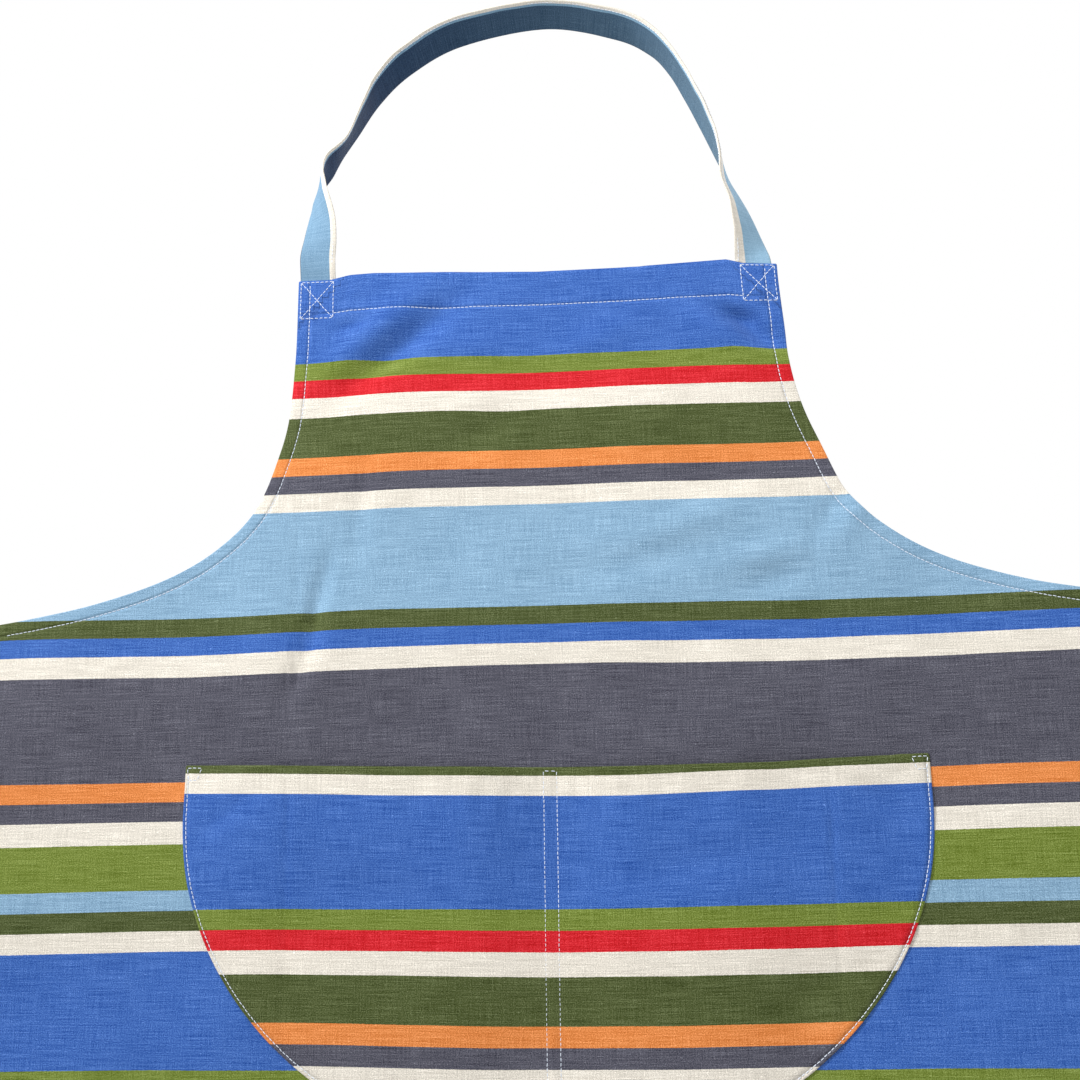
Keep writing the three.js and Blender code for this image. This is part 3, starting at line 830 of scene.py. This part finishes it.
# How far the pocket's mouth hangs below a straight line: across, drop.
MOUTH_DROP = [
    (-0.237, -0.0022), (-0.158, 0.0001), (-0.1, 0.0018), (-0.025, 0.0034), (0.05, 0.0043),
    (0.14, 0.0034), (0.17, 0.0018), (0.237, -0.0006),
]
DROP_FADES = 0.08


def pocket_drop(u, v):
    return np.interp(u, *zip(*MOUTH_DROP)) * (1 - smoothstep(0.0, DROP_FADES, v - POCKET_TOP))


def in_front(u, v, front=0.0):
    """The pocket's middle surface, and points in front of it."""
    gap = pocket_stand(u, v) + np.asarray(front)
    at = behind(u, v, pocket_relief(u, v) - gap)
    at[..., 2] -= pocket_drop(u, v)
    return at


def make_pocket():
    columns = POCKET_COLUMNS
    lowest = 0.9985  # stops just short of the point where the outline closes
    turn = np.linspace(0, math.pi / 2, POCKET_ROWS)
    depth = POCKET_TOP + (POCKET_SIDE + (POCKET_DEPTH - POCKET_SIDE) * lowest) * np.sin(turn)
    crowding = math.pi / 2 * 0.82  # columns crowd towards the sides
    spread = np.sin(np.linspace(-1, 1, columns) * crowding) / math.sin(crowding)
    u = pocket_half_width(depth)[:, None] * spread
    v = np.repeat(depth[:, None], columns, axis=1)
    inside, position = distance_to(POCKET_EDGE, u, v)

    tucked = POCKET_GAP * 0.55 * (1 - smoothstep(0.0, 0.0012, inside))
    shape = in_front(u, v, -tucked)
    cloth = pairs(u + 1, v - POCKET_TOP + POCKET_PATTERN - bow(u, v, POCKET_BOWS))
    seam = pairs(inside - POCKET_SEAM, position)

    hem = hem_rows(POCKET_HEM)
    top_u = u[0]
    inside_top = np.clip(top_u, -POCKET_HALF_WIDTH + 0.001, POCKET_HALF_WIDTH - 0.001)
    hem_shape = []
    hem_cloth = []
    for inset, back in reversed(hem):
        at_v = np.full(columns, POCKET_TOP + inset)
        share = smoothstep(0.0, 0.01, POCKET_HALF_WIDTH - np.abs(top_u))
        hem_shape.append(in_front(inside_top, at_v, -back * (0.3 + 0.7 * share)))
        hem_cloth.append(pairs(top_u + 1, np.full(columns, POCKET_PATTERN - abs(inset))))
    shape = np.concatenate([hem_shape, shape])
    cloth = np.concatenate([hem_cloth, cloth])
    seam = np.concatenate([np.full((len(hem), columns, 2), 0.5), seam])
    faces = grid_faces(shape.shape[0], columns)
    layers = {"Cloth": cloth.reshape(-1, 2), "Seam": seam.reshape(-1, 2)}
    pocket = new_mesh("pocket_panel_cloth", shape.reshape(-1, 3), faces, STRIPED, layers)
    thicken(pocket, CLOTH)
    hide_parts("pocket_panel")
    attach(pocket, "apron")
    return pocket


# ---- Tapes -----------------------------------------------------------------------------------------------
TAPE_STEP = 0.0025
TAPE_WOBBLE = 0.00035
TAPE_CUP = 0.0006  # how far the tape cups one way and the other


def tape_frames(route, step):
    """Even points on the route, the direction to the pale edge and the outer face's direction at each."""
    centre = catmull_rom([point for point, _ in route], 24)
    hint = catmull_rom([edge for _, edge in route], 24)
    both = resample(np.hstack([centre, hint]), step)
    where = along(both[:, :3])
    at = np.linspace(0, where[-1], int(round(where[-1] / step)) + 1)
    both = at_distance(at, where, both)
    centre = both[:, :3]
    tangent = unit(np.gradient(centre, axis=0))
    width = both[:, 3:] - (both[:, 3:] * tangent).sum(1, keepdims=True) * tangent
    width = unit(width)
    return centre, width, np.cross(width, tangent), at


def tape_section():
    """Once round the folded tape: across, out, distance round from the outer face's plain edge."""
    half = TAPE_WIDTH / 2
    thick = TAPE_THICKNESS / 2
    shares = np.array([-1, -0.93, -0.8, -0.5, -0.2, 0.1, 0.4, 0.62, 0.72, 0.8, 0.9, 0.97])
    across = shares * (half - 0.0004)
    crown = thick * (1 - 0.25 * (across / half) ** 8)
    outer = pairs(across, crown)
    inner = pairs(-across, -crown)
    fold = np.array([(half, thick * 0.45), (half, -thick * 0.45)])
    section = np.vstack([outer, fold, inner, -fold])
    closed = np.vstack([section, section[:1]])
    round_it = along(closed)
    return section, round_it * (2 * TAPE_WIDTH / round_it[-1])


def make_tape(name, route, wobble=TAPE_WOBBLE, phase=0.0):
    centre, width, out, at = tape_frames(route, TAPE_STEP)
    section, round_it = tape_section()
    sides = len(section)
    sway = wobble * (np.sin(at / 0.011 + phase) + 0.6 * np.sin(at / 0.0047 + 2 * phase))
    cup = TAPE_CUP * np.sin(at / 0.031 + phase)
    rings = []
    layers = []
    for i in range(len(at)):
        across = section[:, :1]
        rise = sway[i] * (across / TAPE_WIDTH + 0.4) + cup[i] * (across / (TAPE_WIDTH / 2)) ** 2
        ring = centre[i] + across * width[i] + (section[:, 1:] + rise) * out[i]
        rings.append(np.vstack([ring, ring[:1]]))
        layers.append(pairs(round_it, np.full(sides + 1, at[i])))
    positions = np.vstack(rings)
    uv = np.vstack(layers)
    faces = grid_faces(len(at), sides + 1)
    start = tuple(range(sides))
    last = len(positions) - sides - 1
    end = tuple(last + i for i in reversed(range(sides)))
    faces.extend([start, end])
    tape = new_mesh(name, positions, faces, TAPE, {"Cloth": uv})
    weld(tape)
    return tape, (centre, width, out, at)


def weld(obj):
    """Joins the two copies of the seam vertices where a tube of faces closes, keeping its UV layers."""
    mesh = bmesh.new()
    mesh.from_mesh(obj.data)
    bmesh.ops.remove_doubles(mesh, verts=mesh.verts, dist=1e-7)
    bmesh.ops.recalc_face_normals(mesh, faces=mesh.faces)
    mesh.to_mesh(obj.data)
    mesh.free()
    obj.data.polygons.foreach_set("use_smooth", np.ones(len(obj.data.polygons), bool))


# The neck strap's route above the bib's top edge: across, behind the panel, up, and the direction to the
# pale edge. It is the CAD model's route, except near its ends: the left one stays closer to the panel, and
# the right one comes down a few millimetres further in, where it is sewn at a slant.
NECK_ROUTE = [
    ((-0.155, 0.0022, 0.005), (1, 0, 0)),
    ((-0.1552, 0.001, 0.013), (1, 0, 0)),
    ((-0.1555, 0.001, 0.022), (1, 0, 0)),
    ((-0.1545, 0.0025, 0.036), (0.98, -0.2, 0)),
    ((-0.1545, 0.004, 0.05), (0.9, -0.43, 0)),
    ((-0.156, 0.006, 0.064), (0.72, -0.69, 0)),
    ((-0.158, 0.009, 0.077), (0.5, -0.86, 0)),
    ((-0.1575, 0.013, 0.09), (0.16, -0.98, 0.05)),
    ((-0.153, 0.0175, 0.104), (-0.04, -0.99, 0.08)),
    ((-0.1435, 0.0225, 0.121), (0.24, -0.97, 0.02)),
    ((-0.136, 0.028, 0.141), (0.14, -0.97, 0.15)),
    ((-0.1225, 0.036, 0.174), (-0.06, -0.96, 0.25)),
    ((-0.101, 0.042, 0.203), (-0.18, -0.91, 0.38)),
    ((-0.062, 0.048, 0.23), (-0.13, -0.88, 0.46)),
    ((0.004, 0.05, 0.242), (0, -0.92, 0.4)),
    ((0.06, 0.048, 0.2275), (0.14, -0.89, 0.45)),
    ((0.086, 0.0445, 0.209), (0.14, -0.93, 0.34)),
    ((0.1, 0.04, 0.188), (0.11, -0.96, 0.27)),
    ((0.111, 0.0345, 0.163), (0.11, -0.95, 0.28)),
    ((0.12, 0.028, 0.138), (0.12, -0.95, 0.28)),
    ((0.127, 0.0215, 0.113), (0.04, -0.97, 0.24)),
    ((0.132, 0.0155, 0.09), (-0.12, -0.97, 0.18)),
    ((0.1355, 0.01, 0.068), (-0.42, -0.9, 0.06)),
    ((0.1415, 0.0065, 0.048), (-0.56, -0.83, 0)),
    ((0.146, 0.0045, 0.028), (-0.74, -0.67, 0)),
    ((0.1484, 0.0027, 0.013), (-0.9, -0.43, 0)),
    ((0.1494, 0.0024, 0.005), (-0.98, -0.2, 0)),
]
STRAP_SLANTS = 0.004  # the right end is sewn on at a slant

# How a tie leaves its corner: reach outwards from the side edge, drop, and turn about its length in degrees.
TIE_LEAVES = [
    (-0.003, 0, 0), (0.0015, 0, 0), (0.012, 0.001, 8), (0.022, 0.006, 28), (0.029, 0.015, 52),
    (0.033, 0.028, 72), (0.034, 0.046, 86), (0.034, 0.072, 90), (0.034, 0.1, 90),
]


def neck_route():
    sewn = STRAP_END - 0.0005
    free = [((x, PANEL_Y + y, TOP + z), edge) for (x, y, z), edge in NECK_ROUTE]
    left = [((-STRAP_X, TAPE_Y, TOP - v), (1, 0, 0)) for v in (sewn, sewn / 2, 0.002)]
    right = []
    for v in (0.004, sewn / 2, sewn):
        x = STRAP_X - CORNER_PULL / 2 - STRAP_SLANTS * (1 - v / sewn)
        right.append(((x, TAPE_Y, TOP - v), (-1, 0, 0)))
    return left + free + right


def make_neck_strap():
    strap, frames = make_tape("neck_strap_tape", neck_route())
    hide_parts("neck_strap", "neck_strap_end_left", "neck_strap_end_right")
    return strap, frames


def tie_route(side):
    """From the tie's sewn end to its tip."""
    inner = TIE_END_X - SKIRT_HALF_WIDTH
    reach, turned, turn = TIE_LEAVES[-1]
    straight = TIE_TIP_V - TIE_V - turned
    rows = [(inner, 0, 0), (inner / 2, 0, 0), *TIE_LEAVES]
    rows += [(reach, turned + straight * share, turn) for share in (0.2, 0.4, 0.6, 0.8, 1.0)]
    route = []
    for reach, drop, turn in rows:
        angle = math.radians(turn)
        point = (side * (SKIRT_HALF_WIDTH + reach), TAPE_Y, TOP - TIE_V - drop)
        route.append((point, (0, math.sin(angle), math.cos(angle))))
    return route


def make_tie(name, side):
    tie, frames = make_tape(f"waist_tie_{name}_tape", tie_route(side), wobble=0.0003, phase=side)
    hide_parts(f"waist_tie_{name}", f"waist_tie_end_{name}")
    return tie, frames


# ---- Stitches --------------------------------------------------------------------------------------------
def stitch_shape():
    """One stitch along X: rings of a flattened thread that dives into the cloth at both ends."""
    sides = 6
    stations = [
        (-0.5, 0.3, -0.0003), (-0.42, 0.85, -0.00006), (-0.2, 1.0, 0.0),
        (0.2, 1.0, 0.0), (0.42, 0.85, -0.00006), (0.5, 0.3, -0.0003),
    ]
    points = []
    for share, size, sink in stations:
        for k in range(sides):
            angle = 2 * math.pi * k / sides
            across = math.cos(angle) * size * STITCH_WIDTH / 2
            out = math.sin(angle) * size * STITCH_WIDTH * 0.38 + sink
            points.append((share * STITCH_LENGTH, across, out))
    faces = []
    for r in range(len(stations) - 1):
        for k in range(sides):
            j = (k + 1) % sides
            faces.append((r * sides + k, (r + 1) * sides + k, (r + 1) * sides + j, r * sides + j))
    faces.append(tuple(reversed(range(sides))))
    last = (len(stations) - 1) * sides
    faces.append(tuple(last + k for k in range(sides)))
    return np.array(points), faces


STITCH_POINTS, STITCH_FACES = stitch_shape()
STITCH_STANDS = STITCH_WIDTH * 0.2  # the thread's middle stands this far out of the cloth
SEAM_STEP = 0.003
chance = np.random.default_rng(7)


def stitches_on(points, normals):
    """Positions of stitches laid head to tail along a line on a surface, standing out along its normals."""
    where = along(points)
    count = max(1, int(where[-1] / STITCH_PITCH))
    middles = (np.arange(count) + 0.5) * where[-1] / count
    reach = STITCH_LENGTH / 2
    ahead = unit(at_distance(middles + reach, where, points) - at_distance(middles - reach, where, points))
    out = at_distance(middles, where, normals)
    out = unit(out - (out * ahead).sum(1, keepdims=True) * ahead)
    side = np.cross(out, ahead)
    lean = chance.normal(0, 0.05, count)[:, None]
    ahead, side = ahead + side * lean, side - ahead * lean
    centre = at_distance(middles, where, points) + side * chance.normal(0, 0.00006, count)[:, None]
    local = STITCH_POINTS
    return (
        centre[:, None]
        + ahead[:, None] * local[None, :, :1]
        + side[:, None] * local[None, :, 1:2]
        + out[:, None] * local[None, :, 2:]
    )


def make_stitches(name, runs, nodes, body="apron"):
    """runs: (points, normals) pairs. All their stitches make one piece."""
    made = np.concatenate([stitches_on(points, normals) for points, normals in runs])
    count, each = made.shape[:2]
    faces = []
    for i in range(count):
        faces.extend(tuple(i * each + k for k in face) for face in STITCH_FACES)
    piece = new_mesh(name, made.reshape(-1, 3), faces, SEWING)
    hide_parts(*nodes)
    if body:
        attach(piece, body)
    return piece


def run_on_panel(line, back):
    """A seam's two faces: on the panel's front, and on the layer "back" behind its middle surface."""
    u, v = line[:, 0], line[:, 1]
    normal = backward(u, v)
    front = behind(u, v, -CLOTH / 2 - STITCH_STANDS)
    rear = behind(u, v, back + STITCH_STANDS)
    return [(front, -normal), (rear, normal)]


def run_on_pocket(line):
    """A seam's two faces: on the pocket's front, and on the panel's back."""
    u, v = line[:, 0], line[:, 1]
    normal = backward(u, v)
    front = in_front(u, v, CLOTH / 2 + STITCH_STANDS)
    rear = behind(u, v, CLOTH / 2 + STITCH_STANDS)
    return [(front, -normal), (rear, normal)]


def segment(a, b):
    return resample(np.array([a, b], float), SEAM_STEP)


def both_faces(lines, run_on, *back):
    return [run for line in lines for run in run_on(line, *back)]


def closed(corners):
    """The four sides between four corners."""
    return [segment(corners[i], corners[(i + 1) % 4]) for i in range(4)]


def box_and_cross(u1, u2, v1, v2):
    corners = [(u1, v1), (u2, v1), (u2, v2), (u1, v2)]
    return closed(corners) + [segment(corners[0], corners[2]), segment(corners[1], corners[3])]


def make_panel_stitches():
    hem_back = FOLD + CLOTH / 2
    tape_back = TAPE_Y + TAPE_THICKNESS / 2 - PANEL_Y
    inset = SIDE_HEM - SEAM_INSET
    seam_line = resample(edge_line + inward_from(edge_line) * inset, SEAM_STEP)
    half_tape = TAPE_WIDTH / 2 - SEAM_INSET
    for name, side in SIDES:
        armhole = seam_line[(seam_line[:, 1] > 0.001) & (seam_line[:, 1] < ARMHOLE_DEPTH + 0.004)]
        armhole = armhole[armhole[:, 0] < SKIRT_HALF_WIDTH - inset - 0.0005] * [side, 1]
        runs = run_on_panel(armhole, hem_back)
        make_stitches(f"armhole_stitches_{name}", runs, [f"armhole_stitch_{name}"])
        side_x = side * (SKIRT_HALF_WIDTH - inset)
        down = segment((side_x, ARMHOLE_DEPTH + 0.004), (side_x, LENGTH - 0.001))
        make_stitches(f"side_hem_stitches_{name}", run_on_panel(down, hem_back), [f"side_hem_stitch_{name}"])
        strap_x = side * STRAP_X
        box = box_and_cross(strap_x - half_tape, strap_x + half_tape, SEAM_INSET, STRAP_END - SEAM_INSET)
        runs = both_faces(box, run_on_panel, tape_back)
        make_stitches(f"strap_box_stitches_{name}", runs, [f"strap_box_stitch_{name}"])
        inner = side * (TIE_END_X + SEAM_INSET)
        outer = side * (SKIRT_HALF_WIDTH - SEAM_INSET)
        box = box_and_cross(inner, outer, TIE_V - half_tape, TIE_V + half_tape)
        runs = both_faces(box, run_on_panel, tape_back)
        make_stitches(f"tie_box_stitches_{name}", runs, [f"tie_box_stitch_{name}"])
    reach = STRAP_X - half_tape
    top = segment((-reach, TOP_HEM - SEAM_INSET), (reach, TOP_HEM - SEAM_INSET))
    make_stitches("top_hem_stitches", run_on_panel(top, hem_back), ["top_hem_stitch"])
    reach = SKIRT_HALF_WIDTH - 0.002
    bottom_v = LENGTH - BOTTOM_HEM + SEAM_INSET
    bottom = segment((-reach, bottom_v), (reach, bottom_v))
    make_stitches("bottom_hem_stitches", run_on_panel(bottom, hem_back), ["bottom_hem_stitch"])


def make_pocket_stitches():
    edge = pocket_outline(POCKET_SEAM, 0.006)
    make_stitches("pocket_edge_stitches", run_on_pocket(edge), ["pocket_edge_stitch"])
    half = DIVIDER_ROWS / 2
    top = POCKET_TOP + 0.002
    bottom = POCKET_TOP + POCKET_DEPTH - 0.003
    rows = [segment((s * half, top), (s * half, bottom)) for s in (-1, 1)]
    rows.append(segment((-half, top), (half, top)))
    make_stitches("pocket_divider_stitches", both_faces(rows, run_on_pocket), ["pocket_divider_stitch"])
    for name, side in SIDES:
        outer = POCKET_HALF_WIDTH - 0.0012
        corners = [(outer - 0.01, 0.0012), (outer, 0.0012), (outer - 0.001, 0.009), (outer - 0.007, 0.009)]
        tack = closed([(side * u, POCKET_TOP + v) for u, v in corners])
        runs = both_faces(tack, run_on_pocket)
        make_stitches(f"pocket_corner_stitches_{name}", runs, [f"pocket_corner_tack_{name}"])


def make_tape_stitches(name, frames, nodes):
    centre, width, out, at = frames
    across = TAPE_WIDTH / 2 - TAPE_SEAM
    stands = TAPE_THICKNESS / 2 + STITCH_WIDTH * 0.15
    runs = [(centre + width * across + out * stands * s, out * s) for s in (1, -1)]
    return make_stitches(name, runs, nodes, body=None)


# ---- Build -----------------------------------------------------------------------------------------------
make_camera()
panel = make_panel()
pocket = make_pocket()
make_panel_stitches()
make_pocket_stitches()

strap, strap_frames = make_neck_strap()
strap_seam = make_tape_stitches("neck_strap_stitches", strap_frames, ["neck_strap_stitch"])
for piece in (strap, strap_seam):
    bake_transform(piece)

for name, side in SIDES:
    tie, tie_frames = make_tie(name, side)
    tie_seam = make_tape_stitches(f"waist_tie_stitches_{name}", tie_frames, [f"waist_tie_stitch_{name}"])
    for piece in (tie, tie_seam):
        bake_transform(piece)


# ---- Studio ----------------------------------------------------------------------------------------------
ROOM = 0.4  # how bright the room in front of the apron is, beside a backdrop of 1
ROOM_BEGINS = -0.6
BACKDROP_BEGINS = 0.15
FLOOR_BELOW = 0.2
FLOOR_HALF_SIZE = 12.0
FLOOR_GREY = (0.6, 0.6, 0.6, 1)
CHEST = (0, 0, -0.45)
COLLAR = (0, 0, -0.3)

# Each light: name, kind, energy, size in metres (or the angle of a sun in degrees), location, target.
LIGHTS = [
    ("key", "SUN", 2.4, 10, (-2.4, -1.4, 1.6), CHEST),
    ("soft_left", "AREA", 9.2, 0.4, (-0.62, -0.66, 0.32), COLLAR),
    ("soft_right", "AREA", 3.6, 0.5, (0.7, -0.75, 0.35), COLLAR),
    ("behind", "SUN", 1.2, 40, (1.6, 2.4, 1.6), CHEST),
]


def make_room():
    """The room by direction: a white backdrop behind the apron, and a dimmer room in front of it."""
    world = bpy.data.worlds.new("studio")
    world.use_nodes = True
    nodes = world.node_tree.nodes
    links = world.node_tree.links
    direction = nodes.new("ShaderNodeTexCoord")
    axes = nodes.new("ShaderNodeSeparateXYZ")
    strength = nodes.new("ShaderNodeMapRange")
    strength.interpolation_type = "SMOOTHSTEP"
    limits = {"From Min": ROOM_BEGINS, "From Max": BACKDROP_BEGINS, "To Min": ROOM, "To Max": 1.0}
    for key, value in limits.items():
        strength.inputs[key].default_value = value
    links.new(direction.outputs["Generated"], axes.inputs[0])
    links.new(axes.outputs["Y"], strength.inputs["Value"])
    nodes["Background"].inputs["Color"].default_value = (1, 1, 1, 1)
    links.new(strength.outputs["Result"], nodes["Background"].inputs["Strength"])
    return world


def make_light(name, kind, energy, spread, location, target):
    data = bpy.data.lights.new(name, kind)
    data.energy = energy
    if kind == "SUN":
        data.angle = math.radians(spread)
    else:
        data.size = spread
    obj = add_object(name, data)
    obj.location = location
    obj.rotation_mode = "QUATERNION"
    obj.rotation_quaternion = (Vector(target) - Vector(location)).to_track_quat("-Z", "Y")


def make_floor():
    material = bpy.data.materials.new("floor")
    material.use_nodes = True
    surface = material.node_tree.nodes["Principled BSDF"]
    surface.inputs["Base Color"].default_value = FLOOR_GREY
    surface.inputs["Roughness"].default_value = 0.9
    z = panel_low.z - FLOOR_BELOW
    half = FLOOR_HALF_SIZE
    corners = np.array([(-half, -half, z), (half, -half, z), (half, half, z), (-half, half, z)])
    new_mesh("floor", corners, [(0, 1, 2, 3)], material)


def make_studio():
    scene = bpy.context.scene
    scene.view_settings.view_transform = "Standard"
    scene.world = make_room()
    for light in LIGHTS:
        make_light(*light)
    make_floor()


make_studio()
